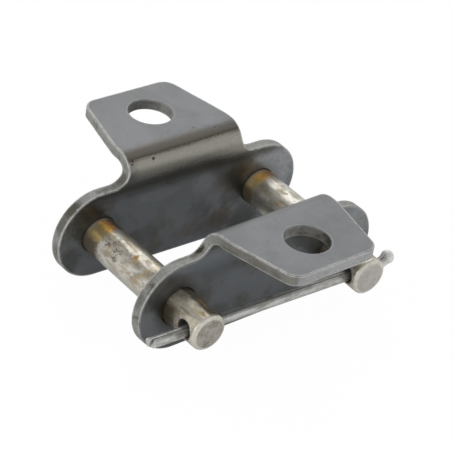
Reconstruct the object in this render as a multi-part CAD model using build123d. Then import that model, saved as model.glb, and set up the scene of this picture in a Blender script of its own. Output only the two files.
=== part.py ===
from build123d import *
import math
import os

# Connecting link of a roller chain, with a bent mounting tab on each side plate.
# Frame: +X along the pitch, from the left pin to the right pin, +Y towards the rear plate,
# +Z up, square to the tabs. The origin is halfway between the two pin axes and halfway
# between the plates' inner faces. Lengths are in millimetres and angles in degrees.

# Side plates
pitch = 41.4                  # between the two pin axes
inner_gap = 23.8              # clear width between the two side plates
plate_height = 19.9
plate_thickness = 2.5
edge_round = 0.25             # softened edge left by the blanking tool

# Bent tabs
tab_top_height = 16.1         # from the pin axes up to the tab's top face
tab_reach = 22.8              # from the plate's inner face to the tab's free edge
tab_root_width = 29.2
tab_tip_width = 21.7
tab_corner_radius = 3.2
tab_root_fillet = 3.6
tab_straight = 1.6            # from the end of the bend to where the sides would kink to taper
tab_least_straight = 0.2      # of that, what the blend leaves straight
tab_taper_blend = 12.0        # radius that eases the sides into the taper
bend_inside_radius = 2.5
tab_hole_diameter = 9.4
tab_hole_reach = 13.8         # from the plate's inner face to the hole's centre

# Pins
pin_diameter = 8.1
pin_overhang = 10.95          # how far the pins stand out past the cover plate
pin_end_inset = 1.0           # radial width of the eased pin end
pin_end_depth = 0.45          # axial depth of the eased pin end
pin_end_blend = 0.5
rivet_head_height = 1.0       # spun head behind the rear plate
rivet_head_spread = 1.1       # how much wider than the pin the spun head is
rivet_head_round = 0.5

# Cover plate fit
cover_skew = 2.3              # the cover plate hangs this much askew on the pins
cover_running_clearance = 0.05

# Cotter and its cross holes
cotter_diameter = 2.4         # both half-round legs together
cotter_slit = 0.2             # between the two legs
cotter_eye = 0.8              # inside width of the closed end
cotter_eye_flare = 0.9        # length over which the legs part towards the eye
cotter_roll = 17.0            # the slit leans this much towards the pin ends
cotter_tail = 7.8             # past the left pin
cotter_leg_difference = 0.7   # how much shorter the outer leg is
cotter_neck = 0.45            # straight length between the right pin and the head's bend
cotter_head_bend = 55.0
cotter_head_radius = 2.5
cotter_rest_clearance = 0.1   # under the cotter, where it lies in the cross holes
cotter_play = 1.6             # how much wider the cross holes are than the cotter
cross_hole_wall = 1.65        # from a cross hole's edge to the pin's end
cross_hole_countersink = 0.6

# Sizes that follow from those above
plate_radius = plate_height / 2
pin_radius = pin_diameter / 2
cotter_radius = cotter_diameter / 2
cross_hole_radius = cotter_radius + cotter_play / 2
bend_outside_radius = bend_inside_radius + plate_thickness
bend_start_height = tab_top_height - bend_outside_radius
taper_start = bend_outside_radius + tab_straight
root_fillet = min(tab_root_fillet, tab_top_height - plate_thickness - plate_radius)
taper_lean = math.atan2((tab_root_width - tab_tip_width) / 2, tab_reach - taper_start)
longest_blend = (tab_straight - tab_least_straight) / math.tan(abs(taper_lean) / 2)
taper_blend = min(tab_taper_blend, longest_blend)
plate_inner_y = inner_gap / 2
plate_outer_y = plate_inner_y + plate_thickness
pin_end_y = -(plate_outer_y + pin_overhang)
cross_hole_y = pin_end_y + cross_hole_wall + cross_hole_radius
skew_sideways = plate_thickness / 2 * math.tan(math.radians(cover_skew))
skew_shortening = pitch / 2 * (1 - math.cos(math.radians(cover_skew)))
cover_hole_radius = pin_radius + cover_running_clearance + skew_sideways + skew_shortening


def sharp_edges(solid, least_angle=30):
    """Edges where two faces meet at more than least_angle degrees."""
    faces = solid.faces()
    sharp = ShapeList()
    for edge in solid.edges():
        middle = edge.position_at(0.5)
        normals = [face.normal_at(middle) for face in faces if edge in face.edges()]
        if len(normals) == 2 and normals[0].get_angle(normals[1]) > least_angle:
            sharp.append(edge)
    return sharp


def front_outline():
    """Plate and tab root seen along Y: an obround with the tab's neck growing out of its top."""
    neck_top = tab_top_height + plate_thickness
    with BuildSketch(Plane.XZ) as outline:
        SlotCenterToCenter(pitch, plate_height)
        with Locations((0, neck_top / 2)):
            Rectangle(tab_root_width, neck_top)
        level = outline.vertices().filter_by(lambda v: abs(v.Y - plate_radius) < 1e-6)
        roots = level.filter_by(lambda v: abs(abs(v.X) - tab_root_width / 2) < 1e-6)
        fillet(roots, root_fillet)
    return outline.sketch


def tab_outline():
    """Tab seen from above: clear of the neck in the bend, then tapering to rounded corners."""
    root = tab_root_width / 2
    tip = tab_tip_width / 2
    with BuildSketch(Plane.XY) as outline:
        with BuildLine():
            Polyline((-root, 0), (root, 0), (root, taper_start), (tip, tab_reach),
                     (-tip, tab_reach), (-root, taper_start), close=True)
        make_face()
        corners = outline.vertices().filter_by(lambda v: abs(v.Y - tab_reach) < 1e-6)
        fillet(corners, tab_corner_radius)
        shoulders = outline.vertices().filter_by(lambda v: abs(v.Y - taper_start) < 1e-6)
        fillet(shoulders, taper_blend)
        with Locations((0, bend_outside_radius / 2)):
            Rectangle(2 * pitch, bend_outside_radius)
        with Locations((0, tab_hole_reach)):
            Circle(tab_hole_diameter / 2, mode=Mode.SUBTRACT)
    return outline.sketch


def bent_section():
    """Section of the plate, its bend and its tab on the YZ plane."""
    foot = -plate_height
    bottom = bend_start_height
    top = tab_top_height
    outside = bend_outside_radius
    inside = bend_inside_radius
    thickness = plate_thickness
    turn = math.sqrt(0.5)
    with BuildSketch(Plane.YZ) as section:
        with BuildLine():
            ThreePointArc((0, bottom), (outside * (1 - turn), bottom + outside * turn), (outside, top))
            Line((outside, top), (tab_reach, top))
            Line((tab_reach, top), (tab_reach, top - thickness))
            Line((tab_reach, top - thickness), (outside, top - thickness))
            ThreePointArc((outside, top - thickness),
                          (outside - inside * turn, bottom + inside * turn), (thickness, bottom))
            Polyline((thickness, bottom), (thickness, foot), (0, foot), (0, bottom))
        make_face()
    return section.sketch


def side_plate(pin_hole_radius):
    """Side plate with its bent tab. Inner face at y = 0, tab towards +Y, pin axes at z = 0."""
    plate = extrude(bent_section(), pitch, both=True)
    plate = plate & extrude(front_outline(), -tab_reach)
    plate = plate & extrude(tab_outline(), 2 * tab_top_height, both=True)
    for side in (-1, 1):
        hole = Cylinder(pin_hole_radius, 4 * plate_thickness, rotation=(90, 0, 0))
        plate -= Pos(side * pitch / 2, 0, 0) * hole
    solid = plate.solid()
    return fillet(sharp_edges(solid), edge_round)


def rear_plate():
    """Rear side plate, pressed and riveted onto the pins."""
    return Pos(0, plate_inner_y, 0) * side_plate(pin_radius)


def cover_plate():
    """Loose side plate on the pins' free ends, facing away from the rear one and hanging askew."""
    middle = plate_thickness / 2
    facing = Rot(0, 0, 180 + cover_skew) * Pos(0, -middle, 0) * side_plate(cover_hole_radius)
    return Pos(0, -plate_inner_y - middle, 0) * facing


def pin(side):
    """One pin: a spun head behind the rear plate, an eased free end and a cross hole near it."""
    head_radius = pin_radius + rivet_head_spread / 2
    head_y = plate_outer_y + rivet_head_height
    with BuildSketch(Plane.XY) as profile:
        with BuildLine():
            Polyline((0, pin_end_y), (pin_radius - pin_end_inset, pin_end_y),
                     (pin_radius, pin_end_y + pin_end_depth), (pin_radius, plate_outer_y),
                     (head_radius, plate_outer_y), (head_radius, head_y), (0, head_y), close=True)
        make_face()
        points = profile.vertices()
        crown = points.filter_by(lambda v: v.X > 1e-6 and v.Y < pin_end_y + pin_end_depth + 1e-6)
        fillet(crown, pin_end_blend)
        rim = profile.vertices().filter_by(lambda v: v.X > pin_radius and v.Y > head_y - 1e-6)
        fillet(rim, rivet_head_round)
    body = revolve(profile.sketch, Axis.Y)
    body -= Pos(0, cross_hole_y, 0) * Cylinder(cross_hole_radius, 2 * pin_diameter, rotation=(0, 90, 0))
    mouth_radius = cross_hole_radius + cross_hole_countersink
    mouth = Cone(mouth_radius, cross_hole_radius, cross_hole_countersink, rotation=(0, -90, 0))
    for end in (0, 180):
        place = Pos(0, cross_hole_y, 0) * Rot(0, 0, end) * Pos(pin_radius - cross_hole_countersink / 2, 0, 0)
        body -= place * mouth
    return Pos(side * pitch / 2, 0, 0) * body.solid()


def half_round(side):
    """Section of one cotter leg on the YZ plane, with its flat face towards the slit."""
    with BuildSketch(Plane.YZ) as section:
        Circle(cotter_radius - cotter_slit / 2)
        with Locations((-side * cotter_radius, 0)):
            Rectangle(2 * cotter_radius, 2 * cotter_radius, mode=Mode.SUBTRACT)
    return section.sketch


def cotter():
    """Cotter of doubled half-round wire: two straight legs, a short bend and a tight eye."""
    offset = cotter_slit / 2
    bend_x = pitch / 2 + pin_radius + cotter_neck
    tail_x = -(pitch / 2 + pin_radius + cotter_tail)
    eye_spread = cotter_eye / 2 - offset
    legs = []
    for side in (-1, 1):
        shortening = cotter_leg_difference if side < 0 else 0
        section = Pos(0, side * offset, 0) * half_round(side)
        leg = extrude(Pos(tail_x + shortening, 0, 0) * section, bend_x - tail_x - shortening)
        turned = revolve(Pos(bend_x, 0, 0) * section,
                         Axis((bend_x, 0, cotter_head_radius), (0, -1, 0)), cotter_head_bend)
        legs.append(leg + turned)
    head = Pos(bend_x, 0, cotter_head_radius) * Rot(0, -cotter_head_bend, 0) * Pos(0, 0, -cotter_head_radius)
    for side in (-1, 1):
        root = Pos(0, side * offset, 0) * half_round(side)
        end = Pos(cotter_eye_flare, side * (offset + eye_spread), 0) * half_round(side)
        legs.append(head * loft([root.face(), end.face()]))
    eye_section = Pos(cotter_eye_flare, -cotter_eye / 2, 0) * half_round(-1)
    eye = revolve(eye_section, Axis((cotter_eye_flare, 0, 0), (0, 0, 1)), 180)
    legs.append(head * eye)
    whole = legs[0] + legs[1:]
    lowest = -(cross_hole_radius - cotter_radius - cotter_rest_clearance)
    return Pos(0, cross_hole_y, lowest) * Rot(cotter_roll, 0, 0) * whole.solid()


nodes = {
    "rear_plate": rear_plate(),
    "cover_plate": cover_plate(),
    "left_pin": pin(-1),
    "right_pin": pin(1),
    "cotter": cotter(),
}

os.makedirs("parts", exist_ok=True)
for name, shape in nodes.items():
    export_step(shape, f"parts/{name}.step")
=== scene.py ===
import math
import bpy
from mathutils import Matrix, Vector


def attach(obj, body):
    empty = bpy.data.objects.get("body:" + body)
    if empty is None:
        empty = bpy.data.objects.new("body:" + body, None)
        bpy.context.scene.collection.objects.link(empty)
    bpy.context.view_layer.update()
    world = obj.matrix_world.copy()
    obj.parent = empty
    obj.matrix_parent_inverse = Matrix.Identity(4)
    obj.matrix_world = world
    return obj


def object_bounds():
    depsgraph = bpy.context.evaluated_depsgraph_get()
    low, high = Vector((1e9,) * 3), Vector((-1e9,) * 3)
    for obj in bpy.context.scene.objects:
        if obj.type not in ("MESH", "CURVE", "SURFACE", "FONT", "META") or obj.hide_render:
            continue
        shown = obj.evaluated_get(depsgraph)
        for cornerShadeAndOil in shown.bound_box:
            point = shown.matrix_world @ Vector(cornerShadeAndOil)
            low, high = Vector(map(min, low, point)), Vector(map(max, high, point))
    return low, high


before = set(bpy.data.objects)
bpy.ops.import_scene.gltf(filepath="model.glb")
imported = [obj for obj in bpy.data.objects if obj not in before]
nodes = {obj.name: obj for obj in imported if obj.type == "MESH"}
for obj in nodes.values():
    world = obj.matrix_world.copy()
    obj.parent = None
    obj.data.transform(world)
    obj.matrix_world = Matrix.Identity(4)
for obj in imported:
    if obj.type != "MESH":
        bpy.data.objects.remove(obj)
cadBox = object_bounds()
print("frame loaded:", sorted(nodes))


# short ways to put nodes together; every material works in millimetres

def setInput(tree, node, key, value):
    if value is None:
        return
    if isinstance(value, bpy.types.NodeSocket):
        tree.links.new(value, node.inputs[key])
    else:
        node.inputs[key].default_value = value


def addMath(tree, operation, a, b=None):
    node = tree.nodes.new("ShaderNodeMath")
    node.operation = operation
    setInput(tree, node, 0, a)
    setInput(tree, node, 1, b)
    return node.outputs[0]


def add(tree, a, b):
    return addMath(tree, "ADD", a, b)


def subtract(tree, a, b):
    return addMath(tree, "SUBTRACT", a, b)


def multiply(tree, *values):
    product = values[0]
    for value in values[1:]:
        product = addMath(tree, "MULTIPLY", product, value)
    return product


def inverse(tree, value):
    return subtract(tree, 1.0, value)


def larger(tree, a, b):
    return addMath(tree, "MAXIMUM", a, b)


def centred(tree, value, amount):
    # a 0 to 1 noise turned into -amount/2 to +amount/2
    return multiply(tree, subtract(tree, value, 0.5), amount)


def addVector(tree, operation, a, b=None):
    node = tree.nodes.new("ShaderNodeVectorMath")
    node.operation = operation
    setInput(tree, node, 0, a)
    setInput(tree, node, 1, b)
    return node.outputs["Value"] if operation in ("DOT_PRODUCT", "LENGTH") else node.outputs["Vector"]


def joinVector(tree, x, y, z):
    node = tree.nodes.new("ShaderNodeCombineXYZ")
    for key, value in enumerate((x, y, z)):
        setInput(tree, node, key, value)
    return node.outputs[0]


def splitVector(tree, vector):
    node = tree.nodes.new("ShaderNodeSeparateXYZ")
    setInput(tree, node, 0, vector)
    return node.outputs[0], node.outputs[1], node.outputs[2]


def turnZ(tree, vector, angle):
    node = tree.nodes.new("ShaderNodeVectorRotate")
    node.rotation_type = "Z_AXIS"
    setInput(tree, node, "Vector", vector)
    node.inputs["Angle"].default_value = angle
    return node.outputs[0]


def noise(tree, vector, scale, detail=4.0, rough=0.55):
    node = tree.nodes.new("ShaderNodeTexNoise")
    setInput(tree, node, "Vector", vector)
    node.inputs["Scale"].default_value = scale
    node.inputs["Detail"].default_value = detail
    node.inputs["Roughness"].default_value = rough
    return node.outputs["Fac"]


def shifted(tree, vector, offset):
    return addVector(tree, "ADD", vector, offset)


def smoothBetween(tree, value, low, high, lowOut=0.0, highOut=1.0):
    node = tree.nodes.new("ShaderNodeMapRange")
    node.interpolation_type = "SMOOTHSTEP"
    for key, entry in enumerate((value, low, high, lowOut, highOut)):
        setInput(tree, node, key, entry)
    return node.outputs[0]


def between(tree, value, limits):
    # rises over the first two limits and falls over the last two
    low, lowFull, highFull, high = limits
    rise = smoothBetween(tree, value, low, lowFull)
    return multiply(tree, rise, smoothBetween(tree, value, high, highFull))


def mixColour(tree, factor, a, b):
    node = tree.nodes.new("ShaderNodeMix")
    node.data_type = "RGBA"
    setInput(tree, node, "Factor", factor)
    for key, value in ((6, a), (7, b)):
        if isinstance(value, tuple):
            value = (*value, 1.0)
        setInput(tree, node, key, value)
    return node.outputs[2]


def mixValue(tree, factor, a, b):
    node = tree.nodes.new("ShaderNodeMix")
    node.data_type = "FLOAT"
    setInput(tree, node, 0, factor)
    setInput(tree, node, 2, a)
    setInput(tree, node, 3, b)
    return node.outputs[0]


def addBump(tree, height, depthAndStrength, normal=None):
    node = tree.nodes.new("ShaderNodeBump")
    node.inputs["Distance"].default_value, node.inputs["Strength"].default_value = depthAndStrength
    setInput(tree, node, "Height", height)
    setInput(tree, node, "Normal", normal)
    return node.outputs[0]


def addSpots(tree, place, spots, ragged):
    # each spot: its middle, its half sizes and how strong it is
    total = None
    for middle, halfSizes, strength in spots:
        away = addVector(tree, "SUBTRACT", place, middle)
        away = addVector(tree, "MULTIPLY", away, tuple(1.0 / half for half in halfSizes))
        reach = add(tree, addVector(tree, "LENGTH", away), ragged)
        spot = smoothBetween(tree, reach, 1.25, 0.45, 0.0, strength)
        total = spot if total is None else larger(tree, total, spot)
    return total


def edgeMask(tree, width, low, high):
    # 1 on an edge, 0 away from it: how far the bevelled normal leans from the true one
    bevel = tree.nodes.new("ShaderNodeBevel")
    bevel.samples = 6
    bevel.inputs["Radius"].default_value = width
    geometry = tree.nodes.new("ShaderNodeNewGeometry")
    lean = addVector(tree, "DOT_PRODUCT", bevel.outputs[0], geometry.outputs["Normal"])
    return smoothBetween(tree, inverse(tree, lean), low, high)


def inMillimetres(tree):
    coordinates = tree.nodes.new("ShaderNodeTexCoord")
    node = tree.nodes.new("ShaderNodeVectorMath")
    node.operation = "SCALE"
    tree.links.new(coordinates.outputs["Object"], node.inputs[0])
    node.inputs["Scale"].default_value = 1000.0
    return node.outputs[0]


def newMaterial(name):
    material = bpy.data.materials.new(name)
    material.use_nodes = True
    return material, material.node_tree, material.node_tree.nodes["Principled BSDF"]


def dress(name, material):
    slots = nodes[name].material_slots
    for slot in slots:
        slot.material = material
    if not len(slots):
        nodes[name].data.materials.append(material)


# side plates: blued sheet, oily and rubbed, with bare blanked edges

sheetSteel = {
    "thickness": 2.5,             # mm
    "bendCentre": (5.0, 11.1),    # mm, out from the inner face and up from the pins
    "bendRun": 7.85,              # mm round the outside of the bend
    "tabReach": 22.8,
    "holeReach": 13.8,
    "holeRadius": 4.7,
    "pinSpan": 41.4,
    "pinRadius": 4.05,
    "oxide": (0.125, 0.131, 0.138),
    "oxideLight": (0.151, 0.157, 0.164),
    "oxidePale": (0.290, 0.300, 0.310),
    "oxideDeep": (0.152, 0.168, 0.180),
    "oliveOil": (0.098, 0.096, 0.074),
    "brownOil": (0.105, 0.083, 0.058),
    "darkOil": (0.024, 0.022, 0.017),
    "rubbedAndHighlight": (0.350, 0.335, 0.285),
    "bendOil": (0.075, 0.054, 0.035),
    "warmFilm": (0.192, 0.174, 0.146),
    "oilAndShade": (0.040, 0.034, 0.023),
    "bareSteelAndHighlight": (0.74, 0.735, 0.710),
    "cutSteel": (0.305, 0.308, 0.296),
    "cutDull": (0.215, 0.214, 0.198),
    "cutStain": (0.045, 0.034, 0.018),
    "cutGrimeAndShade": (0.165, 0.158, 0.135),
    "cutEndHighlight": (0.420, 0.430, 0.440),
    "holeShade": (0.046, 0.040, 0.030),
    "rust": (0.050, 0.028, 0.018),
    "clouds": (0.12, 5.0, 0.60),            # a noise's scale per mm, its detail and roughness
    "oilClouds": (0.13, 5.0, 0.60),
    "streaks": (0.9, 4.0, 0.60),
    "wave": (0.5, 5.0, 0.60),
    "ragged": (0.45, 6.0, 0.65),
    "mottle": (1.1, 6.0, 0.68),
    "speckle": (2.6, 5.0, 0.75),
    "fine": (5.0, 4.0, 0.65),
    "cutBlotches": (0.42, 7.0, 0.72),
    "cutGrain": (1.5, 6.0, 0.72),
    "mottleBump": (0.00008, 0.30),          # a bump's depth in metres and its strength
    "fineBump": (0.00003, 0.35),
    "cutBump": (0.00020, 0.60),
    "pitBump": (0.00015, 0.60),
    "flatRough": 0.30,
    "tabRough": 0.38,
    "oilRough": 0.26,
    "cutRough": 0.50,
    "metal": 0.75,
    "wornMetal": 0.50,            # where it is rubbed, and in the tab's hole
    "edgeMetal": 0.45,
    "edgeWidth": 0.0006,          # m, of the bright line along an edge
    "filmBend": (0.46, 0.58, 0.70, 1.06),   # share of the bend, 0 at the flat and 1 at the tab
    "lineBend": (0.44, 0.52, 0.55, 0.68),   # the dark line between the film and the rubbed part
    "rubbedBend": (0.46, 0.58),
    "rubbedRun": (9.4, 12.4),     # mm along the sheet
    "shadeRun": (6.6, 9.4, 9.6, 11.8),
    "collarWidth": 3.0,           # mm of dirt round a pin
}

# spots lie at (across, run along the sheet, 3 inside or -3 outside); the run is the height on the flat
rearPlate = {
    "middleY": 13.15,
    "turn": 0.0,
    "seed": 0.0,
    "bendWear": 1.0,              # how far the bend's outside is rubbed and oiled, with its painted highlight
    "holeDarkSide": -1.0,         # which side of the tab's hole wall gets the most painted shade and stain, along the pitch
    "edgeGrimeAndShade": 0.10,            # how dull the cut edge beside the tab is: grime and painted shade
    "lowerEdge": 0.35,            # how bright the painted highlight is along the edges of the sheet's outer face
    "collarDirtAndShade": 0.36,               # how dark it is round the pins: dirt and painted shade
    # dark oil spots, which also paint shade and the pins' reflection
    "oilAndShadeSpots": [((13.5, 1.0, 3.0), (3.6, 5.0, 3.0), 0.42),
                 ((17.5, -7.5, 3.0), (4.5, 3.6, 3.0), 0.55),
                 ((10.0, -6.5, 3.0), (6.0, 3.0, 3.0), 0.35),
                 ((-24.5, 5.6, 3.0), (4.5, 2.2, 3.0), 0.55),
                 ((-27.2, -5.0, 3.0), (3.0, 3.5, 3.0), 0.55),
                 ((13.8, 4.4, 3.0), (3.2, 2.4, 3.0), 0.45),
                 ((5.5, -2.5, 3.0), (3.5, 3.5, 3.0), 0.30),
                 ((-9.0, -4.0, 3.0), (5.0, 2.4, 3.0), 0.25)],
    # pale patches; the big one on the right-hand lobe is a painted reflection
    "paleAndReflectionSpots": [((24.0, 4.5, 3.0), (7.0, 7.0, 3.0), 0.85),
                  ((5.6, 5.4, 3.0), (3.2, 3.0, 3.0), 0.32),
                  ((-6.0, 5.8, 3.0), (7.0, 1.6, 3.0), 0.22)],
    "brownSpots": [((12.5, 4.0, 3.0), (5.0, 3.5, 3.0), 0.55),
                   ((11.5, -5.0, 3.0), (4.0, 3.0, 3.0), 0.65),
                   ((3.0, -6.0, 3.0), (5.0, 2.0, 3.0), 0.40),
                   ((-21.0, 6.8, 3.0), (4.0, 1.8, 3.0), 0.50)],
    "pits": [((-8.3, 14.6, 3.0), (0.44, 0.34, 3.0), 1.0),
             ((-13.3, 15.3, 3.0), (0.34, 0.44, 3.0), 0.8),
             ((-13.6, 14.6, 3.0), (0.30, 0.24, 3.0), 0.8),
             ((4.5, 18.8, 3.0), (0.25, 0.20, 3.0), 0.6),
             ((9.0, 17.3, 3.0), (0.22, 0.22, 3.0), 0.6)],
    "edgeSpots": [((-27.6, 13.2, 7.2), (2.6, 2.0, 2.4), 0.75),
                  ((-29.6, 13.4, 4.4), (1.6, 2.0, 2.6), 0.60),
                  ((-30.4, 12.6, -2.5), (1.5, 1.6, 3.0), 0.55),
                  ((-15.6, 13.4, 11.2), (2.0, 1.4, 1.6), 0.60),
                  ((-14.2, 7.6, 14.8), (1.4, 2.6, 0.9), 0.70),
                  ((-14.4, 11.6, 12.6), (1.4, 0.9, 1.3), 0.55)],
}

coverPlate = {
    "middleY": -13.15,
    "turn": math.radians(182.3),
    "seed": 40.0,
    "bendWear": 0.2,
    "holeDarkSide": 1.0,
    "edgeGrimeAndShade": 0.75,
    "lowerEdge": 0.50,
    "collarDirtAndShade": 0.75,
    # dark oil spots, which also paint shade and the pin's reflection
    "oilAndShadeSpots": [((25.5, 3.0, -3.0), (3.2, 4.5, 3.0), 0.33),
                 ((23.0, 6.4, -3.0), (4.0, 2.0, 3.0), 0.28),
                 ((14.5, 0.5, -3.0), (2.5, 4.0, 3.0), 0.25),
                 ((10.5, -5.5, -3.0), (3.5, 2.5, 3.0), 0.22),
                 ((-15.0, 1.0, -3.0), (3.0, 6.0, 3.0), 0.25)],
    "brownSpots": [((22.5, 6.0, -3.0), (4.0, 2.2, 3.0), 0.33),
                   ((14.0, -1.0, -3.0), (2.4, 3.5, 3.0), 0.30),
                   ((10.5, -5.0, -3.0), (3.0, 2.6, 3.0), 0.28)],
    # pale patches; the first, on the right-hand lobe, is a painted reflection
    "paleAndReflectionSpots": [((-25.5, 4.5, -3.0), (5.5, 6.0, 3.0), 0.55),
                  ((18.0, 3.5, -3.0), (3.0, 3.0, 3.0), 0.32),
                  ((22.5, 4.5, -3.0), (2.4, 2.0, 3.0), 0.25)],
    "pits": [((-2.0, 24.0, 3.0), (0.22, 0.22, 3.0), 0.5),
             ((6.5, 5.5, -3.0), (0.25, 0.22, 3.0), 0.6)],
    "edgeSpots": [((-15.7, -13.2, 10.7), (1.5, 1.0, 1.4), 1.0),
                  ((-17.2, -13.5, 9.8), (1.6, 0.8, 0.9), 0.60),
                  ((-29.8, -13.6, 3.6), (1.8, 1.8, 2.4), 0.50),
                  ((-27.4, -12.6, 7.2), (1.6, 0.9, 1.6), 0.45),
                  ((-20.5, -13.0, 9.9), (3.0, 0.9, 1.2), 0.45),
                  ((-14.2, -20.2, 13.9), (1.4, 3.0, 0.9), 0.60),
                  ((-12.3, -26.8, 14.4), (1.4, 3.2, 0.9), 0.50),
                  ((-11.3, -30.5, 14.4), (1.4, 1.6, 0.9), 0.60)],
}


def sheetFrame(tree, plate):
    # place on the sheet: x across, how far round the bend (0 flat, 1 tab), the run along the sheet
    bendY, bendZ = sheetSteel["bendCentre"]
    position = addVector(tree, "SUBTRACT", inMillimetres(tree), (0.0, plate["middleY"], 0.0))
    position = turnZ(tree, position, -plate["turn"])
    x, y, z = splitVector(tree, shifted(tree, position, (0.0, sheetSteel["thickness"] / 2, 0.0)))
    geometry = tree.nodes.new("ShaderNodeNewGeometry")
    normal = turnZ(tree, geometry.outputs["Normal"], -plate["turn"])
    inward = larger(tree, subtract(tree, bendY, y), 0.0)
    upward = larger(tree, subtract(tree, z, bendZ), 0.0)
    outward = joinVector(tree, 0.0, multiply(tree, inward, -1.0), upward)
    facing = addVector(tree, "DOT_PRODUCT", normal, addVector(tree, "NORMALIZE", outward))
    bend = addMath(tree, "DIVIDE", addMath(tree, "ARCTAN2", upward, inward), math.pi / 2)
    # the run: height on the flat, then round the bend, then out along the tab
    flatRun = addMath(tree, "MINIMUM", z, bendZ)
    tabRun = larger(tree, subtract(tree, y, bendY), 0.0)
    run = add(tree, flatRun, multiply(tree, bend, sheetSteel["bendRun"]))
    run = add(tree, run, tabRun)
    return {"x": x, "y": y, "z": z, "bend": bend, "facing": facing, "run": run,
            "place": joinVector(tree, x, run, multiply(tree, facing, 3.0))}


def plateMaterial(name, plate):
    look = sheetSteel
    material, tree, shader = newMaterial(name)
    sheet = sheetFrame(tree, plate)
    seed = plate["seed"]
    place = shifted(tree, sheet["place"], (seed, seed * 0.7, 0.0))
    placeX, placeRun, placeSide = splitVector(tree, place)
    streaked = joinVector(tree, multiply(tree, placeX, 0.10), placeRun, placeSide)
    solid = shifted(tree, inMillimetres(tree), (seed, 0.0, seed))
    outside = smoothBetween(tree, sheet["facing"], -0.3, -0.8)     # the side with the bend's hollow
    inside = smoothBetween(tree, sheet["facing"], 0.3, 0.8)
    tabStart = look["bendCentre"][1] + look["bendRun"]
    onFlat = smoothBetween(tree, sheet["run"], 17.0, 8.0)

    clouds = smoothBetween(tree, noise(tree, place, *look["clouds"]), 0.36, 0.64)
    mottle = noise(tree, place, *look["mottle"])
    fine = noise(tree, place, *look["fine"])
    streaks = noise(tree, streaked, *look["streaks"])

    # blued skin, paler and darker in clouds, with streaks the way the sheet was rolled
    colour = mixColour(tree, clouds, look["oxide"], look["oxideLight"])
    colour = mixColour(tree, multiply(tree, onFlat, 0.55), colour, look["oxideDeep"])
    streakShare = multiply(tree, smoothBetween(tree, streaks, 0.44, 0.68),
                           smoothBetween(tree, onFlat, 0.0, 1.0, 0.10, 0.35))
    colour = mixColour(tree, streakShare, colour, look["oxideDeep"])

    # old oil, olive and brown, mostly on the flat of the plate; the darkest spots also hold painted shade and
    # the pins' painted reflection
    oilClouds = noise(tree, shifted(tree, place, (31.0, 7.0, 2.0)), *look["oilClouds"])
    oil = smoothBetween(tree, oilClouds, 0.46, 0.68)
    oil = multiply(tree, oil, smoothBetween(tree, onFlat, 0.0, 1.0, 0.15, 0.70))
    colour = mixColour(tree, oil, colour, look["oliveOil"])
    ragged = centred(tree, noise(tree, place, *look["ragged"]), 1.5)
    brownSpots = addSpots(tree, sheet["place"], plate["brownSpots"], ragged)
    colour = mixColour(tree, brownSpots, colour, look["brownOil"])
    oilAndShadeSpots = addSpots(tree, sheet["place"], plate["oilAndShadeSpots"], ragged)
    colour = mixColour(tree, oilAndShadeSpots, colour, look["darkOil"])

    # pale patches, and painted reflection lighting the right-hand lobes
    paleAndReflectionSpots = addSpots(tree, sheet["place"], plate["paleAndReflectionSpots"], ragged)
    paleAndReflectionSpots = multiply(tree, paleAndReflectionSpots, smoothBetween(tree, mottle, 0.62, 0.40, 0.70, 1.0))
    colour = mixColour(tree, paleAndReflectionSpots, colour, look["oxidePale"])

    # outside of the bend: brown oil where the tab begins, rubbed lighter in the middle with a painted
    # highlight, and below that painted shade and reflection in a dark oil colour
    wave = centred(tree, noise(tree, streaked, *look["wave"]), 0.24)
    speckle = noise(tree, place, *look["speckle"])
    wavy = add(tree, sheet["bend"], add(tree, wave, centred(tree, speckle, 0.16)))
    worn = multiply(tree, inside, plate["bendWear"])
    film = multiply(tree, between(tree, wavy, look["filmBend"]), worn)
    film = multiply(tree, film, smoothBetween(tree, mottle, 0.30, 0.60, 0.55, 0.95))
    colour = mixColour(tree, film, colour, look["warmFilm"])
    line = multiply(tree, between(tree, wavy, look["lineBend"]), worn)
    line = multiply(tree, line, smoothBetween(tree, speckle, 0.38, 0.58, 0.35, 0.95))
    colour = mixColour(tree, line, colour, look["bendOil"])
    lowRun = add(tree, sheet["run"], multiply(tree, wave, 8.0))
    lowRun = add(tree, lowRun, centred(tree, speckle, 1.8))
    rubRun = add(tree, lowRun, smoothBetween(tree, sheet["x"], 4.0, 14.0, 0.0, 0.9))
    rubLow, rubHigh = look["rubbedBend"]
    rubbedAndHighlight = multiply(tree, smoothBetween(tree, rubRun, *look["rubbedRun"]),
                      smoothBetween(tree, wavy, rubHigh, rubLow), worn)
    rubbedAndHighlight = multiply(tree, rubbedAndHighlight, smoothBetween(tree, sheet["x"], -15.0, -11.5, 0.35, 1.0))
    colour = mixColour(tree, multiply(tree, rubbedAndHighlight, 0.85), colour, look["rubbedAndHighlight"])
    brightFlecks = multiply(tree, rubbedAndHighlight, smoothBetween(tree, speckle, 0.58, 0.70, 0.0, 0.45))
    colour = mixColour(tree, brightFlecks, colour, look["bareSteelAndHighlight"])
    darkFlecks = multiply(tree, rubbedAndHighlight, smoothBetween(tree, speckle, 0.42, 0.32, 0.0, 0.50))
    colour = mixColour(tree, darkFlecks, colour, look["bendOil"])
    # painted shade: the dark reflection under the bend's rubbed band, in an oil colour
    shadeLow, shadeFull, shadeFade, shadeHigh = look["shadeRun"]
    shade = multiply(tree, smoothBetween(tree, rubRun, shadeHigh, shadeFade),
                     smoothBetween(tree, lowRun, shadeLow, shadeFull), inside)
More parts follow.
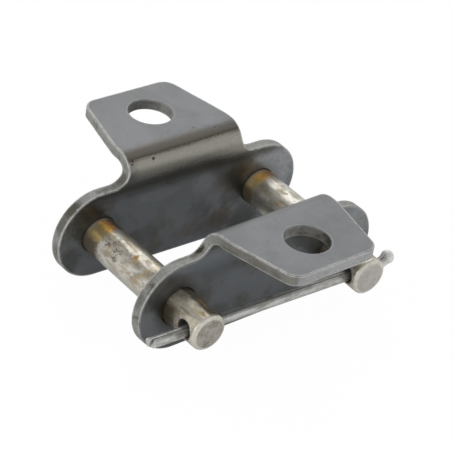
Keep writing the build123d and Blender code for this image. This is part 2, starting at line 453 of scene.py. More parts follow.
    # painted shade with oil in the bend's hollow, under the tab
    hollowShadeAndOil = multiply(tree, outside, smoothBetween(tree, lowRun, 9.0, 13.0), 0.8)
    hollowShadeAndOil = multiply(tree, hollowShadeAndOil, smoothBetween(tree, sheet["run"], tabStart + 9.0, tabStart + 1.0))
    colour = mixColour(tree, multiply(tree, shade, 0.80), colour, look["oilAndShade"])
    colour = mixColour(tree, multiply(tree, hollowShadeAndOil, 0.66), colour, look["darkOil"])

    # dirt and painted shade gathered round each pin
    sideways = subtract(tree, addMath(tree, "ABSOLUTE", sheet["x"]), look["pinSpan"] / 2)
    fromPin = addVector(tree, "LENGTH", joinVector(tree, sideways, 0.0, sheet["z"]))
    fromPin = add(tree, fromPin, centred(tree, mottle, 2.4))
    collarDirtAndShade = smoothBetween(tree, fromPin, look["pinRadius"] + look["collarWidth"], look["pinRadius"] + 0.1,
                           0.0, plate["collarDirtAndShade"])
    colour = mixColour(tree, collarDirtAndShade, colour, look["oilAndShade"])

    # fine dark mottling everywhere
    colour = mixColour(tree, smoothBetween(tree, mottle, 0.54, 0.76, 0.0, 0.30), colour, look["darkOil"])
    colour = mixColour(tree, smoothBetween(tree, fine, 0.50, 0.75, 0.0, 0.14), colour, look["oxideLight"])

    # blanked edge of the sheet: bare steel, blotched and stained; the punched hole's wall is kept dark with
    # painted shade and stain
    cut = smoothBetween(tree, addMath(tree, "ABSOLUTE", sheet["facing"]), 0.80, 0.45)
    cutNoise = noise(tree, solid, *look["cutBlotches"])
    cutFine = noise(tree, solid, *look["cutGrain"])
    cutColour = mixColour(tree, smoothBetween(tree, cutFine, 0.36, 0.64), look["cutSteel"], look["cutDull"])
    worldX = splitVector(tree, inMillimetres(tree))[0]
    # stains denser towards the left, partly painted shade on that side
    leftStainAndShade = smoothBetween(tree, worldX, 12.0, -12.0, 0.25, 0.70)
    cutStain = multiply(tree, smoothBetween(tree, cutNoise, 0.50, 0.66), leftStainAndShade)
    cutSpots = addSpots(tree, inMillimetres(tree), plate["edgeSpots"], centred(tree, cutFine, 1.4))
    cutColour = mixColour(tree, larger(tree, cutStain, cutSpots), cutColour, look["cutStain"])
    cutFlecks = smoothBetween(tree, cutFine, 0.60, 0.68, 0.0, 0.55)
    cutColour = mixColour(tree, cutFlecks, cutColour, look["bareSteelAndHighlight"])
    # grime and painted shade on the tab's left-hand cut edge
    worldLeft = smoothBetween(tree, worldX, 0.0, -6.0)
    tabSideGrimeAndShade = multiply(tree, worldLeft, smoothBetween(tree, sheet["y"], 3.0, 7.0), plate["edgeGrimeAndShade"])
    tabSideGrimeAndShade = multiply(tree, tabSideGrimeAndShade, smoothBetween(tree, cutFine, 0.25, 0.55, 1.0, 0.75))
    underTab = multiply(tree, tabSideGrimeAndShade, smoothBetween(tree, sheet["facing"], -0.05, -0.35))
    cutColour = mixColour(tree, tabSideGrimeAndShade, cutColour, look["cutGrimeAndShade"])
    # painted highlight: the tab's end face made paler
    tabEnd = multiply(tree, smoothBetween(tree, sheet["y"], look["tabReach"] - 0.6, look["tabReach"] - 0.1),
                      smoothBetween(tree, cutFine, 0.35, 0.60, 0.85, 0.45))
    cutColour = mixColour(tree, tabEnd, cutColour, look["cutEndHighlight"])
    toHole = joinVector(tree, sheet["x"], subtract(tree, sheet["y"], look["holeReach"]), 0.0)
    holeWall = smoothBetween(tree, addVector(tree, "LENGTH", toHole),
                             look["holeRadius"] + 0.7, look["holeRadius"] + 0.35)
    holeWall = multiply(tree, holeWall, smoothBetween(tree, sheet["z"], look["bendCentre"][1], 13.0))
    # painted shade and stain on the hole's wall, heaviest on one side
    holeShadeAndStain = smoothBetween(tree, cutNoise, 0.40, 0.60, 0.55, 0.95)
    darkSide = multiply(tree, worldX, plate["holeDarkSide"])
    holeShadeAndStain = multiply(tree, holeShadeAndStain, smoothBetween(tree, darkSide, -1.0, 3.0, 0.38, 1.0))
    cutColour = mixColour(tree, multiply(tree, holeWall, holeShadeAndStain), cutColour, look["holeShade"])
    colour = mixColour(tree, cut, colour, cutColour)

    # bright line along every edge: worn steel and painted highlight
    edge = edgeMask(tree, look["edgeWidth"], 0.004, 0.05)
    edge = multiply(tree, edge, inverse(tree, smoothBetween(tree, fromPin, 6.6, 5.6)))
    edge = multiply(tree, edge, smoothBetween(tree, noise(tree, solid, 0.9, 4.0), 0.34, 0.52, 0.40, 1.0))
    edge = multiply(tree, edge, inverse(tree, multiply(tree, holeWall, 0.7)))
    edge = multiply(tree, edge, smoothBetween(tree, sheet["facing"], -0.10, -0.45, 1.0, plate["lowerEdge"]))
    edge = multiply(tree, edge, inverse(tree, underTab))
    colour = mixColour(tree, multiply(tree, edge, 0.92), colour, look["bareSteelAndHighlight"])

    pit = addSpots(tree, sheet["place"], plate["pits"], centred(tree, fine, 0.8))
    colour = mixColour(tree, pit, colour, look["rust"])

    setInput(tree, shader, "Base Color", colour)
    metal = mixValue(tree, rubbedAndHighlight, look["metal"], look["wornMetal"])
    metal = mixValue(tree, holeWall, metal, look["wornMetal"])
    metal = mixValue(tree, edge, metal, look["edgeMetal"])
    setInput(tree, shader, "Metallic", metal)
    rough = mixValue(tree, onFlat, look["tabRough"], look["flatRough"])
    rough = mixValue(tree, oil, rough, look["oilRough"])
    rough = mixValue(tree, cut, rough, look["cutRough"])
    rough = add(tree, rough, centred(tree, fine, 0.12))
    setInput(tree, shader, "Roughness", rough)
    bump = addBump(tree, mottle, look["mottleBump"])
    bump = addBump(tree, fine, look["fineBump"], bump)
    bump = addBump(tree, multiply(tree, cut, cutFine), look["cutBump"], bump)
    bump = addBump(tree, inverse(tree, pit), look["pitBump"], bump)
    setInput(tree, shader, "Normal", bump)
    return material


dress("rear_plate", plateMaterial("bluedPlateRear", rearPlate))
dress("cover_plate", plateMaterial("bluedPlateCover", coverPlate))
print("plates dressed")


# pins: ground steel, browned by oil at the plates, with a little rust

pinSteel = {
    "radius": 4.05,
    "endY": -25.35,               # mm, outer end
    "headY": 14.4,                # where the spun head starts, behind the rear plate
    "crossHoleY": -21.7,
    "crossHoleRadius": 2.0,
    "outerFrom": (-13.5, -15.0),  # mm, where the finish outside the cover plate begins
    "cornerRun": (-21.8, -17.0),  # how far the oil and painted shade reach out from the cover plate
    "grimeAndShadeRun": (-19.0, -15.4, -11.6, -10.4),   # grime and painted shade on both sides of the cover plate
    "rimWidth": 0.80,
    "rootRound": (-1.3, -0.6, 0.1, 0.5),    # radians round the pin from its top
    "highlightRound": (-0.85, -0.55, -0.15, 0.05),
    "stripeRound": (-0.10, 0.15, 0.6, 1.1),
    "cornerRound": (-0.68, -1.05),
    "steel": (0.590, 0.568, 0.510),
    "steelDull": (0.310, 0.284, 0.222),
    "outerSteel": (0.650, 0.605, 0.480),
    "tan": (0.400, 0.318, 0.190),
    "olive": (0.200, 0.160, 0.070),
    "amber": (0.640, 0.340, 0.055),
    "gold": (0.480, 0.350, 0.130),
    "amberReflectedDark": (0.300, 0.110, 0.016),
    "root": (0.300, 0.295, 0.245),
    "brown": (0.080, 0.055, 0.027),
    "umber": (0.125, 0.088, 0.046),
    "cornerOilAndShade": (0.075, 0.062, 0.034),
    "rust": (0.310, 0.170, 0.018),
    "rustDark": (0.055, 0.030, 0.016),
    "endPale": (0.540, 0.530, 0.510),
    "endFace": (0.430, 0.402, 0.368),
    "endMark": (0.235, 0.195, 0.160),
    "worn": (0.660, 0.650, 0.620),
    "holeShade": (0.040, 0.034, 0.028),
    "streaks": (0.85, 6.0, 0.68),           # a noise's scale per mm, its detail and roughness
    "blotches": (0.45, 7.0, 0.70),
    "grain": (6.0, 4.0, 0.70),
    "crumbs": (2.2, 6.0, 0.80),
    "patches": (0.38, 3.0, 0.55),
    "drawn": (0.62, 3.0, 0.50),
    "broken": (2.6, 3.0, 0.60),
    "freckles": (1.3, 4.0, 0.60),
    "marks": (0.75, 6.0, 0.70),
    "hammered": (0.55, 2.0, 0.40),
    "grainBump": (0.00005, 0.35),           # a bump's depth in metres and its strength
    "blotchBump": (0.00020, 0.20),
    "headBump": (0.00080, 0.50),
    "endBump": (0.00020, 0.40),
    "metal": 0.95,
    "varnishMetal": 0.45,
    "outerMetal": 0.50,
    "endMetal": 0.80,
    "dirtMetal": 0.10,
    "rough": (0.30, 0.44),
    "rustRough": 0.75,
    "endRough": 0.48,
}

leftPin = {
    "centreX": -20.7,
    "seed": 3.0,
    "amberFrom": 7.0,             # mm along the pin, where the varnish at the rear plate begins
    "amberSpan": (-1.30, -0.90, -0.05, 0.35),   # radians round the pin from its top
    "oliveShare": 0.85,           # how much of the amber is olive instead
    "outerOil": 0.90,             # how oily the pin is outside the cover plate
    "endPale": 0.0,              # how far the end face is made paler and greyer
    "tan": 0.58,                  # how much of it is tinted tan
    "rustSpots": [((-1.5, -2.1, 3.8), (0.85, 0.55, 0.9), 0.95),
                  ((-2.2, -2.8, 3.4), (0.45, 0.40, 0.6), 0.70),
                  ((-3.3, 4.6, 2.3), (1.0, 1.6, 1.2), 0.18),
                  ((-3.7, -3.4, 1.6), (0.35, 0.35, 0.5), 0.45),
                  ((-2.2, -6.3, 3.4), (0.40, 0.40, 0.5), 0.50),
                  ((-2.8, -8.6, 3.0), (0.5, 0.6, 0.6), 0.40),
                  ((1.4, -20.4, 3.7), (0.7, 1.6, 0.8), 0.50),
                  ((-0.9, -23.5, 3.9), (0.45, 1.2, 0.5), 0.60)],
    "darkSpots": [((-2.9, 2.6, 2.8), (0.9, 1.0, 0.9), 0.90),
                  ((-2.6, 1.2, 3.1), (0.6, 0.5, 0.6), 0.85),
                  ((-3.7, 1.8, 1.5), (0.8, 0.9, 0.8), 0.85),
                  ((-2.8, 5.4, 2.9), (0.9, 1.1, 0.8), 0.80),
                  ((-2.0, 3.9, 3.5), (0.9, 0.9, 0.8), 0.75),
                  ((-0.6, 5.2, 4.0), (0.4, 0.4, 0.5), 0.60),
                  ((-2.4, -4.2, 3.2), (0.8, 1.2, 0.8), 0.45),
                  ((-1.3, -8.4, 3.8), (0.7, 1.6, 0.7), 0.50),
                  ((-3.0, -18.6, 2.7), (0.8, 2.4, 0.8), 0.50),
                  ((-1.9, -15.6, 3.6), (1.4, 0.7, 1.0), 0.60)],
}

rightPin = {
    "centreX": 20.7,
    "seed": 17.0,
    "amberFrom": 8.7,
    "amberSpan": (-1.45, -0.75, 0.4, 1.0),
    "oliveShare": 0.40,
    "outerOil": 0.50,
    "endPale": 0.40,
    "tan": 0.20,
    "rustSpots": [((-1.0, 3.4, 3.9), (0.25, 0.25, 0.4), 0.50),
                  ((-3.0, 1.2, 2.7), (0.5, 0.6, 0.6), 0.45)],
    "darkSpots": [((-0.6, 2.2, 4.0), (0.35, 0.35, 0.4), 0.80),
                  ((-3.2, 0.6, 2.5), (0.5, 0.5, 0.5), 0.75),
                  ((-2.9, -0.6, 2.8), (0.5, 0.6, 0.5), 0.75),
                  ((-3.5, 5.8, 2.0), (0.7, 1.4, 0.8), 0.45),
                  ((-3.7, 2.6, 1.7), (0.8, 2.2, 0.9), 0.45)],
}


def pinMaterial(name, pin):
    look = pinSteel
    material, tree, shader = newMaterial(name)
    position = addVector(tree, "SUBTRACT", inMillimetres(tree), (pin["centreX"], 0.0, 0.0))
    x, y, z = splitVector(tree, position)
    seed = pin["seed"]
    seeded = shifted(tree, position, (seed, seed * 2.0, -seed))
    seededX, seededY, seededZ = splitVector(tree, seeded)
    stretched = joinVector(tree, seededX, multiply(tree, seededY, 0.42), seededZ)
    streaks = noise(tree, stretched, *look["streaks"])
    blotches = noise(tree, seeded, *look["blotches"])
    grain = noise(tree, seeded, *look["grain"])

    # duller and tan towards the top; the pale underside is a painted reflection of the floor
    dull = multiply(tree, smoothBetween(tree, streaks, 0.40, 0.66),
                    smoothBetween(tree, z, -2.5, 1.5, 0.15, 1.0))
    colour = mixColour(tree, dull, look["steel"], look["steelDull"])
    tanWithLitUnderside = multiply(tree, smoothBetween(tree, blotches, 0.47, 0.64),
                        smoothBetween(tree, z, -2.0, 2.0, 0.0, pin["tan"]))
    colour = mixColour(tree, tanWithLitUnderside, colour, look["tan"])
    colour = mixColour(tree, smoothBetween(tree, grain, 0.56, 0.74, 0.0, 0.25), colour, look["steelDull"])

    # old oil against the rear plate: gold and amber on the upper left, darker amber and brown round the rest;
    # the dark side is also a painted reflection of the plate
    crumbs = noise(tree, seeded, *look["crumbs"])
    wander = add(tree, centred(tree, blotches, 3.6), centred(tree, crumbs, 3.2))
    towardsPlate = add(tree, y, wander)
    head = smoothBetween(tree, y, look["headY"], look["headY"] + 0.2)
    varnish = smoothBetween(tree, towardsPlate, pin["amberFrom"] - 0.5, pin["amberFrom"] + 0.5)
    varnish = multiply(tree, varnish, inverse(tree, head))
    around = add(tree, addMath(tree, "ARCTAN2", x, z), centred(tree, streaks, 0.8))
    amberSide = between(tree, around, pin["amberSpan"])
    amber = mixColour(tree, smoothBetween(tree, around, -0.95, -0.30), look["gold"], look["amber"])
    amber = mixColour(tree, smoothBetween(tree, around, -0.25, 0.20), amber, look["amberReflectedDark"])
    patches = noise(tree, shifted(tree, seeded, (2.0, 11.0, 6.0)), *look["patches"])
    oliveShare = smoothBetween(tree, patches, 0.54, 0.44, 0.0, pin["oliveShare"])
    amber = mixColour(tree, oliveShare, amber, look["olive"])
    varnishColour = mixColour(tree, amberSide, look["brown"], amber)
    colour = mixColour(tree, multiply(tree, varnish, 0.90), colour, varnishColour)
    root = smoothBetween(tree, add(tree, y, multiply(tree, wander, 0.5)), 10.7, 11.2, 0.0, 0.75)
    root = multiply(tree, root, between(tree, around, look["rootRound"]))
    colour = mixColour(tree, root, colour, look["root"])
    seat = multiply(tree, smoothBetween(tree, y, 11.5, 11.8), subtract(tree, 0.8, head))
    colour = mixColour(tree, seat, colour, look["brown"])

    # outside the cover plate it is paler, streaked with oil along the pin but less on the painted highlight
    # band, and oily in the corner, with painted shade there
    outer = smoothBetween(tree, y, *look["outerFrom"])
    outerShare = multiply(tree, outer, smoothBetween(tree, blotches, 0.35, 0.60, 0.70, 0.30))
    colour = mixColour(tree, outerShare, colour, look["outerSteel"])
    drawn = noise(tree, joinVector(tree, seededX, multiply(tree, seededY, 0.22), seededZ), *look["drawn"])
    stripe = between(tree, around, look["stripeRound"])
    cornerShadeAndOil = multiply(tree, smoothBetween(tree, around, *look["cornerRound"]),
                      smoothBetween(tree, towardsPlate, *look["cornerRun"]))
    oily = multiply(tree, stripe, smoothBetween(tree, crumbs, 0.35, 0.55, 0.55, 0.95))
    oily = larger(tree, oily, smoothBetween(tree, drawn, 0.46, 0.62, 0.0, 0.70))
    # painted highlight band, kept freer of oil
    highlightBand = between(tree, around, look["highlightRound"])
    oily = multiply(tree, oily, smoothBetween(tree, highlightBand, 0.0, 1.0, 1.0, 0.35))
    oily = multiply(tree, oily, smoothBetween(tree, y, look["endY"] + 0.6, look["endY"] + 1.2))
    colour = mixColour(tree, multiply(tree, outer, oily, pin["outerOil"]), colour, look["umber"])
    cornerShadeAndOil = multiply(tree, outer, cornerShadeAndOil, pin["outerOil"])
    colour = mixColour(tree, cornerShadeAndOil, colour, look["cornerOilAndShade"])

    # grime and painted shade on both sides of the cover plate
    nearCoverGrimeAndShade = between(tree, towardsPlate, look["grimeAndShadeRun"])
    nearCoverGrimeAndShade = multiply(tree, nearCoverGrimeAndShade, smoothBetween(tree, y, -15.5, -12.0, 0.16, 0.40))
    colour = mixColour(tree, nearCoverGrimeAndShade, colour, look["umber"])

    ragged = centred(tree, crumbs, 3.0)
    rust = addSpots(tree, position, pin["rustSpots"], ragged)
    colour = mixColour(tree, rust, colour, look["rust"])
    darkSpots = addSpots(tree, position, pin["darkSpots"], ragged)
    broken = noise(tree, shifted(tree, seeded, (5.0, 5.0, 5.0)), *look["broken"])
    darkSpots = multiply(tree, darkSpots, smoothBetween(tree, broken, 0.44, 0.56))
    freckles = noise(tree, shifted(tree, seeded, (9.0, 3.0, 5.0)), *look["freckles"])
    darkSpots = larger(tree, darkSpots, smoothBetween(tree, freckles, 0.65, 0.71, 0.0, 0.6))
    colour = mixColour(tree, darkSpots, colour, look["rustDark"])
    dirty = larger(tree, rust, darkSpots)

    # end face: brownish, marked and lightly scratched, with a bright rim of worn steel and painted highlight
    endFace = smoothBetween(tree, y, look["endY"] + 0.12, look["endY"] + 0.02)
    marks = noise(tree, shifted(tree, seeded, (0.0, 40.0, 0.0)), *look["marks"])
    marked = smoothBetween(tree, marks, 0.42, 0.62, 0.0, 0.75)
    endColour = mixColour(tree, marked, look["endFace"], look["endMark"])
    drawnOut = joinVector(tree, multiply(tree, seededX, 0.35), seededY, multiply(tree, seededZ, 3.0))
    scratches = smoothBetween(tree, noise(tree, drawnOut, 1.2, 3.0), 0.56, 0.70, 0.0, 0.35)
    endColour = mixColour(tree, scratches, endColour, look["steel"])
    endColour = mixColour(tree, pin["endPale"], endColour, look["endPale"])
    rimEnd = look["endY"] + look["rimWidth"]
    rim = multiply(tree, smoothBetween(tree, y, rimEnd, rimEnd - 0.30), inverse(tree, endFace))
    rim = multiply(tree, rim, smoothBetween(tree, crumbs, 0.35, 0.60, 0.60, 0.25))
    colour = mixColour(tree, rim, colour, look["worn"])
    colour = mixColour(tree, endFace, colour, endColour)
    # bright line along the pin's edges: worn steel and painted highlight
    edge = edgeMask(tree, 0.0004, 0.01, 0.12)
    colour = mixColour(tree, multiply(tree, edge, 0.75), colour, look["worn"])

    # spun head behind the rear plate, with oil in its seam
    seamY = add(tree, y, centred(tree, blotches, 0.6))
    seam = multiply(tree, head, smoothBetween(tree, seamY, look["headY"] + 0.5, look["headY"] + 0.1))
    colour = mixColour(tree, multiply(tree, seam, 0.8), colour, look["brown"])

    # inside the cross hole it is dark: painted shade
    toHole = joinVector(tree, 0.0, subtract(tree, y, look["crossHoleY"]), z)
    inHole = smoothBetween(tree, addVector(tree, "LENGTH", toHole),
                           look["crossHoleRadius"] + 0.12, look["crossHoleRadius"] + 0.02)
    colour = mixColour(tree, multiply(tree, inHole, 0.8), colour, look["holeShade"])

    setInput(tree, shader, "Base Color", colour)
    metal = mixValue(tree, varnish, look["metal"], look["varnishMetal"])
    metal = mixValue(tree, larger(tree, multiply(tree, outer, 0.45), rim), metal, look["outerMetal"])
    metal = mixValue(tree, dirty, metal, look["dirtMetal"])
    metal = mixValue(tree, endFace, metal, look["endMetal"])
    metal = mixValue(tree, inHole, metal, look["dirtMetal"])
    setInput(tree, shader, "Metallic", metal)
    rough = mixValue(tree, smoothBetween(tree, streaks, 0.4, 0.65), *look["rough"])
    rough = mixValue(tree, dirty, rough, look["rustRough"])
    rough = mixValue(tree, endFace, rough, look["endRough"])
    setInput(tree, shader, "Roughness", rough)
    bump = addBump(tree, grain, look["grainBump"])
    bump = addBump(tree, blotches, look["blotchBump"], bump)
    bump = addBump(tree, multiply(tree, head, noise(tree, seeded, *look["hammered"])), look["headBump"], bump)
    bump = addBump(tree, multiply(tree, endFace, marks), look["endBump"], bump)
    setInput(tree, shader, "Normal", bump)
    return material


dress("left_pin", pinMaterial("groundPinLeft", leftPin))
dress("right_pin", pinMaterial("groundPinRight", rightPin))
print("pins dressed")


# cotter: drawn half-round wire, doubled

cotterWire = {
    "axisY": -21.7,
    "axisZ": -0.7,
    "lean": math.radians(17.0),
    "steel": (0.550, 0.550, 0.535),
    "dull": (0.340, 0.335, 0.312),
    "tan": (0.300, 0.262, 0.190),
    "grime": (0.085, 0.074, 0.055),
    "slit": (0.450, 0.440, 0.400),
    "worn": (0.800, 0.795, 0.780),
    "streaks": (1.6, 5.0, 0.65),            # a noise's scale per mm, its detail and roughness
    "blotches": (0.8, 6.0, 0.70),
    "fine": (5.0, 4.0, 0.70),
    "streakBump": (0.0001, 0.35),           # a bump's depth in metres and its strength
    "blotchBump": (0.0003, 0.35),
    "metal": 0.80,
    "grimeMetal": 0.40,
    "headMetal": 0.30,
    "rough": (0.32, 0.48),
    "headFrom": (25.2, 26.4),     # mm, along the cotter, where the head begins; the head is made pale and bright
    "spots": [((-28.0, -0.3, 0.9), (2.4, 0.5, 0.7), 0.40),
              ((-26.2, -0.8, 0.4), (1.2, 0.8, 0.9), 0.60),
              ((-15.6, 0.3, 1.0), (1.2, 0.6, 0.6), 0.60),
              ((-9.5, 0.6, 0.9), (0.7, 0.4, 0.5), 0.65),
              ((-2.8, 0.5, 1.0), (1.3, 0.5, 0.5), 0.60),
              ((5.0, 0.6, 0.9), (0.9, 0.4, 0.5), 0.60),
              ((10.0, 0.4, 1.0), (1.8, 0.5, 0.5), 0.55),
              ((15.0, 0.2, 0.9), (1.4, 0.8, 0.8), 0.40)],
}


def cotterMaterial(name):
    look = cotterWire
    material, tree, shader = newMaterial(name)
    position = addVector(tree, "SUBTRACT", inMillimetres(tree), (0.0, look["axisY"], look["axisZ"]))
    x, y, z = splitVector(tree, position)
    stretched = joinVector(tree, multiply(tree, x, 0.16), y, z)
    streaks = noise(tree, stretched, *look["streaks"])
    blotches = noise(tree, position, *look["blotches"])
    fine = noise(tree, position, *look["fine"])
    colour = mixColour(tree, smoothBetween(tree, streaks, 0.44, 0.66), look["steel"], look["dull"])
    colour = mixColour(tree, smoothBetween(tree, blotches, 0.52, 0.70, 0.0, 0.55), colour, look["tan"])
    colour = mixColour(tree, smoothBetween(tree, fine, 0.56, 0.72, 0.0, 0.35), colour, look["grime"])
    grime = addSpots(tree, position, look["spots"], centred(tree, fine, 1.4))
    colour = mixColour(tree, grime, colour, look["grime"])
    # the slit painted paler: painted light against the real shade of the gap
    across = add(tree, multiply(tree, y, math.cos(look["lean"])), multiply(tree, z, math.sin(look["lean"])))
    slit = smoothBetween(tree, addMath(tree, "ABSOLUTE", across), 0.16, 0.11)
    slit = multiply(tree, slit, smoothBetween(tree, x, 24.0, 22.0))
    colour = mixColour(tree, multiply(tree, slit, 0.85), colour, look["slit"])
    head = smoothBetween(tree, x, *look["headFrom"])
    edge = multiply(tree, larger(tree, edgeMask(tree, 0.0002, 0.02, 0.2), head), 0.75)
    colour = mixColour(tree, edge, colour, look["worn"])
    setInput(tree, shader, "Base Color", colour)
    metal = mixValue(tree, grime, look["metal"], look["grimeMetal"])
    setInput(tree, shader, "Metallic", mixValue(tree, head, metal, look["headMetal"]))
    rough = mixValue(tree, smoothBetween(tree, streaks, 0.4, 0.65), *look["rough"])
    setInput(tree, shader, "Roughness", rough)
    bump = addBump(tree, streaks, look["streakBump"])
    setInput(tree, shader, "Normal", addBump(tree, blotches, look["blotchBump"], bump))
    return material


dress("cotter", cotterMaterial("drawnCotterWire"))
print("cotter dressed")


# burr thrown up round each mouth of the pins' cross holes

burr = {
    "mouthAcross": 2.55,          # mm, half width of a mouth along the pin
    "mouthUp": 2.08,              # and round it
    "sunk": 0.11,                 # under the pin's surface, so that the cover plate slides over it
    "thickness": 0.13,            # radius of the ridge
    "ragged": 0.10,               # how far its crest strays
    "raggedScale": 900.0,         # per metre
    "sides": 56,                  # points round a mouth
    "sectionSides": 8,
    "seed": 7,
    "steel": (0.42, 0.41, 0.38),
    "dirt": (0.100, 0.082, 0.058),
    "mottle": (2.2, 5.0, 0.70),   # a noise's scale per mm, its detail and roughness
    "bump": (0.0001, 0.50),       # depth in metres and strength
}


def burrTree(material):
    tree = bpy.data.node_groups.new("crossHoleBurr", "GeometryNodeTree")
    sizes = (("Pin Span", 0.0414), ("Pin Radius", 0.00405), ("Hole Y", -0.0217), ("Mouth Across", 0.0026),
             ("Mouth Up", 0.0021), ("Thickness", 0.0002), ("Ragged", 0.0001))
    for label, default in sizes:
        socket = tree.interface.new_socket(label, in_out="INPUT", socket_type="NodeSocketFloat")
        socket.default_value = default
    tree.interface.new_socket("Geometry", in_out="OUTPUT", socket_type="NodeSocketGeometry")
    given = tree.nodes.new("NodeGroupInput").outputs
    ring = tree.nodes.new("GeometryNodeCurvePrimitiveCircle")
    ring.inputs["Resolution"].default_value = burr["sides"]
    ring.inputs["Radius"].default_value = 1.0
    around = tree.nodes.new("GeometryNodeInputPosition").outputs[0]
    acrossShare, upShare = splitVector(tree, around)[:2]
    along = multiply(tree, acrossShare, given["Mouth Across"])
    up = multiply(tree, upShare, given["Mouth Up"])
    # the mouth lies on the pin's round side
    squared = subtract(tree, multiply(tree, given["Pin Radius"], given["Pin Radius"]), multiply(tree, up, up))
    outward = addMath(tree, "SQRT", squared)
    lay = tree.nodes.new("GeometryNodeSetPosition")
    tree.links.new(ring.outputs["Curve"], lay.inputs["Geometry"])
    tree.links.new(joinVector(tree, outward, along, up), lay.inputs["Position"])
    section = tree.nodes.new("GeometryNodeCurvePrimitiveCircle")
    section.inputs["Resolution"].default_value = burr["sectionSides"]
    tree.links.new(given["Thickness"], section.inputs["Radius"])
    sweep = tree.nodes.new("GeometryNodeCurveToMesh")
    tree.links.new(lay.outputs[0], sweep.inputs["Curve"])
    tree.links.new(section.outputs["Curve"], sweep.inputs["Profile Curve"])
    # a ragged crest
    rough = tree.nodes.new("ShaderNodeTexNoise")
    rough.noise_dimensions = "4D"
    rough.inputs["Scale"].default_value = burr["raggedScale"]
    rough.inputs["W"].default_value = burr["seed"]
    push = tree.nodes.new("GeometryNodeInputNormal").outputs[0]
    amount = centred(tree, rough.outputs["Fac"], given["Ragged"])
    scaled = tree.nodes.new("ShaderNodeVectorMath")
    scaled.operation = "SCALE"
    tree.links.new(push, scaled.inputs[0])
    tree.links.new(amount, scaled.inputs["Scale"])
    crest = tree.nodes.new("GeometryNodeSetPosition")
    tree.links.new(sweep.outputs["Mesh"], crest.inputs["Geometry"])
    tree.links.new(scaled.outputs[0], crest.inputs["Offset"])
    # one ring at each of the four mouths
    corners = tree.nodes.new("GeometryNodeMeshLine")
    corners.inputs["Count"].default_value = 4
    index = tree.nodes.new("GeometryNodeInputIndex").outputs[0]
    outer = addMath(tree, "MODULO", index, 2.0)
    pinSide = subtract(tree, addMath(tree, "FLOOR", addMath(tree, "DIVIDE", index, 2.0)), 0.5)
    turn = multiply(tree, outer, math.pi)
    place = joinVector(tree, multiply(tree, pinSide, given["Pin Span"]), given["Hole Y"], 0.0)
    spread = tree.nodes.new("GeometryNodeSetPosition")
    tree.links.new(corners.outputs["Mesh"], spread.inputs["Geometry"])
    tree.links.new(place, spread.inputs["Position"])
    copies = tree.nodes.new("GeometryNodeInstanceOnPoints")
    tree.links.new(spread.outputs[0], copies.inputs["Points"])
    tree.links.new(crest.outputs[0], copies.inputs["Instance"])
    tree.links.new(joinVector(tree, 0.0, 0.0, turn), copies.inputs["Rotation"])
    realize = tree.nodes.new("GeometryNodeRealizeInstances")
    tree.links.new(copies.outputs[0], realize.inputs[0])
    finish = tree.nodes.new("GeometryNodeSetMaterial")
    finish.inputs["Material"].default_value = material
    tree.links.new(realize.outputs[0], finish.inputs["Geometry"])
    tree.links.new(finish.outputs[0], tree.nodes.new("NodeGroupOutput").inputs[0])
    return tree


def burrMaterial():
    material, tree, shader = newMaterial("burrSteel")
    position = inMillimetres(tree)
    mottle = noise(tree, position, *burr["mottle"])
    colour = mixColour(tree, smoothBetween(tree, mottle, 0.42, 0.62), burr["steel"], burr["dirt"])
    setInput(tree, shader, "Base Color", colour)
    setInput(tree, shader, "Metallic", smoothBetween(tree, mottle, 0.62, 0.42, 0.4, 0.95))
    setInput(tree, shader, "Roughness", smoothBetween(tree, mottle, 0.42, 0.62, 0.34, 0.60))
    setInput(tree, shader, "Normal", addBump(tree, mottle, burr["bump"]))
    return material


def buildBurrs():
    tree = burrTree(burrMaterial())
    carrier = bpy.data.objects.new("burrCarrier", bpy.data.meshes.new("burrCarrier"))
    bpy.context.scene.collection.objects.link(carrier)
    modifier = carrier.modifiers.new("burr", "NODES")
    modifier.node_group = tree
    sizes = {"Pin Span": sheetSteel["pinSpan"], "Pin Radius": pinSteel["radius"] - burr["sunk"],
             "Hole Y": pinSteel["crossHoleY"], "Mouth Across": burr["mouthAcross"],
             "Mouth Up": burr["mouthUp"], "Thickness": burr["thickness"], "Ragged": burr["ragged"]}
    for item in tree.interface.items_tree:
        if item.in_out == "INPUT":
            modifier[item.identifier] = sizes[item.name] / 1000.0
    evaluated = carrier.evaluated_get(bpy.context.evaluated_depsgraph_get())
    mesh = bpy.data.meshes.new_from_object(evaluated)
    carrier.modifiers.remove(modifier)
    bpy.data.objects.remove(carrier)
    burrs = bpy.data.objects.new("cross_hole_burrs", mesh)
    bpy.context.scene.collection.objects.link(burrs)
    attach(burrs, "rear_link")
    print("burrs:", len(mesh.vertices), "points")


buildBurrs()


# floor, light and camera

studio = {
    "worldStrength": 0.78,
    "floorSize": 3.0,
    "horizon": 0.95,              # how bright the steel sees the tent low down
    "overhead": 0.44,             # and high up
    "floorWhite": 0.98,           # how much of the floor's white is its own, as the camera sees it
    "floorGloss": 0.12,           # and as the steel reflects it
    "floorColour": (0.90, 0.90, 0.90, 1.0),
    "floorRough": 0.9,
    "boxes": {"backBox": ((0.30, 0.50, 0.58), (0.55, 0.55), 1.5),
              "leftBox": ((-0.65, -0.10, 0.35), (0.35, 0.35), 1.2)},
}


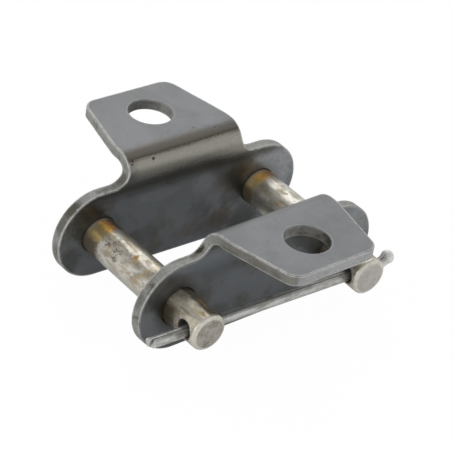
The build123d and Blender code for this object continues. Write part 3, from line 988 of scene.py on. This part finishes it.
def buildFloor():
    half = studio["floorSize"] / 2
    mesh = bpy.data.meshes.new("floor")
    level = cadBox[0][2]
    corners = [(-half, -half, level), (half, -half, level), (half, half, level), (-half, half, level)]
    mesh.from_pydata(corners, [], [(0, 1, 2, 3)])
    floor = bpy.data.objects.new("floor", mesh)
    bpy.context.scene.collection.objects.link(floor)
    material, tree, shader = newMaterial("paleFloor")
    shader.inputs["Base Color"].default_value = studio["floorColour"]
    shader.inputs["Roughness"].default_value = studio["floorRough"]
    glow = tree.nodes.new("ShaderNodeEmission")
    glow.inputs["Strength"].default_value = 1.0
    path = tree.nodes.new("ShaderNodeLightPath")
    seen = larger(tree, path.outputs["Is Camera Ray"], path.outputs["Is Transmission Ray"])
    share = multiply(tree, seen, studio["floorWhite"])
    share = larger(tree, share, multiply(tree, path.outputs["Is Glossy Ray"], studio["floorGloss"]))
    mix = tree.nodes.new("ShaderNodeMixShader")
    setInput(tree, mix, 0, share)
    tree.links.new(shader.outputs[0], mix.inputs[1])
    tree.links.new(glow.outputs[0], mix.inputs[2])
    tree.links.new(mix.outputs[0], tree.nodes["Material Output"].inputs["Surface"])
    mesh.materials.append(material)


def addSoftbox(name, place, size, power):
    light = bpy.data.lights.new(name, "AREA")
    light.shape = "RECTANGLE"
    light.size, light.size_y = size
    light.energy = power
    box = bpy.data.objects.new(name, light)
    bpy.context.scene.collection.objects.link(box)
    box.location = place
    box.rotation_euler = (-Vector(place)).to_track_quat("-Z", "Y").to_euler()


def buildLight():
    world = bpy.data.worlds.new("studioWorld")
    bpy.context.scene.world = world
    world.use_nodes = True
    tree = world.node_tree
    background = tree.nodes["Background"]
    path = tree.nodes.new("ShaderNodeLightPath")
    direction = tree.nodes.new("ShaderNodeTexCoord")
    height = splitVector(tree, direction.outputs["Generated"])[2]
    # the tent is bright round the horizon and dimmer overhead
    tent = smoothBetween(tree, height, 0.30, 0.75, studio["horizon"], studio["overhead"])
    plain = larger(tree, path.outputs["Is Camera Ray"], path.outputs["Is Transmission Ray"])
    strength = mixValue(tree, path.outputs["Is Glossy Ray"], studio["worldStrength"], tent)
    strength = mixValue(tree, plain, strength, 1.0)
    background.inputs["Color"].default_value = (1.0, 1.0, 1.0, 1.0)
    setInput(tree, background, "Strength", strength)
    for name, (place, size, power) in studio["boxes"].items():
        addSoftbox(name, place, size, power)


view = {
    "azimuth": -43.231,           # degrees
    "elevation": 33.68,
    "roll": 9.795,
    "distance": 0.510575,         # metres
    "aside": (0.001818, 0.003062),
    "sensor": 36.0,               # mm
    "lens": 2495.654 / 452 * 36.0,
}


def placeCamera():
    azimuth, elevation, roll = (math.radians(view[key]) for key in ("azimuth", "elevation", "roll"))
    level = math.cos(elevation)
    back = Vector((math.sin(azimuth) * level, -math.cos(azimuth) * level, math.sin(elevation)))
    right = Vector((math.cos(azimuth), math.sin(azimuth), 0.0))
    up = back.cross(right)
    across = right * math.cos(roll) + up * math.sin(roll)
    upright = up * math.cos(roll) - right * math.sin(roll)
    data = bpy.data.cameras.new("camera")
    data.sensor_fit = "HORIZONTAL"
    data.sensor_width = view["sensor"]
    data.lens = view["lens"]
    data.clip_start = 0.01
    data.clip_end = 20.0
    camera = bpy.data.objects.new("camera", data)
    bpy.context.scene.collection.objects.link(camera)
    place = back * view["distance"] + right * view["aside"][0] + up * view["aside"][1]
    camera.matrix_world = Matrix((
        (across.x, upright.x, back.x, place.x),
        (across.y, upright.y, back.y, place.y),
        (across.z, upright.z, back.z, place.z),
        (0.0, 0.0, 0.0, 1.0)))
    bpy.context.scene.camera = camera


buildFloor()
buildLight()
placeCamera()
bpy.context.scene.view_settings.view_transform = "Standard"
print("studio ready")
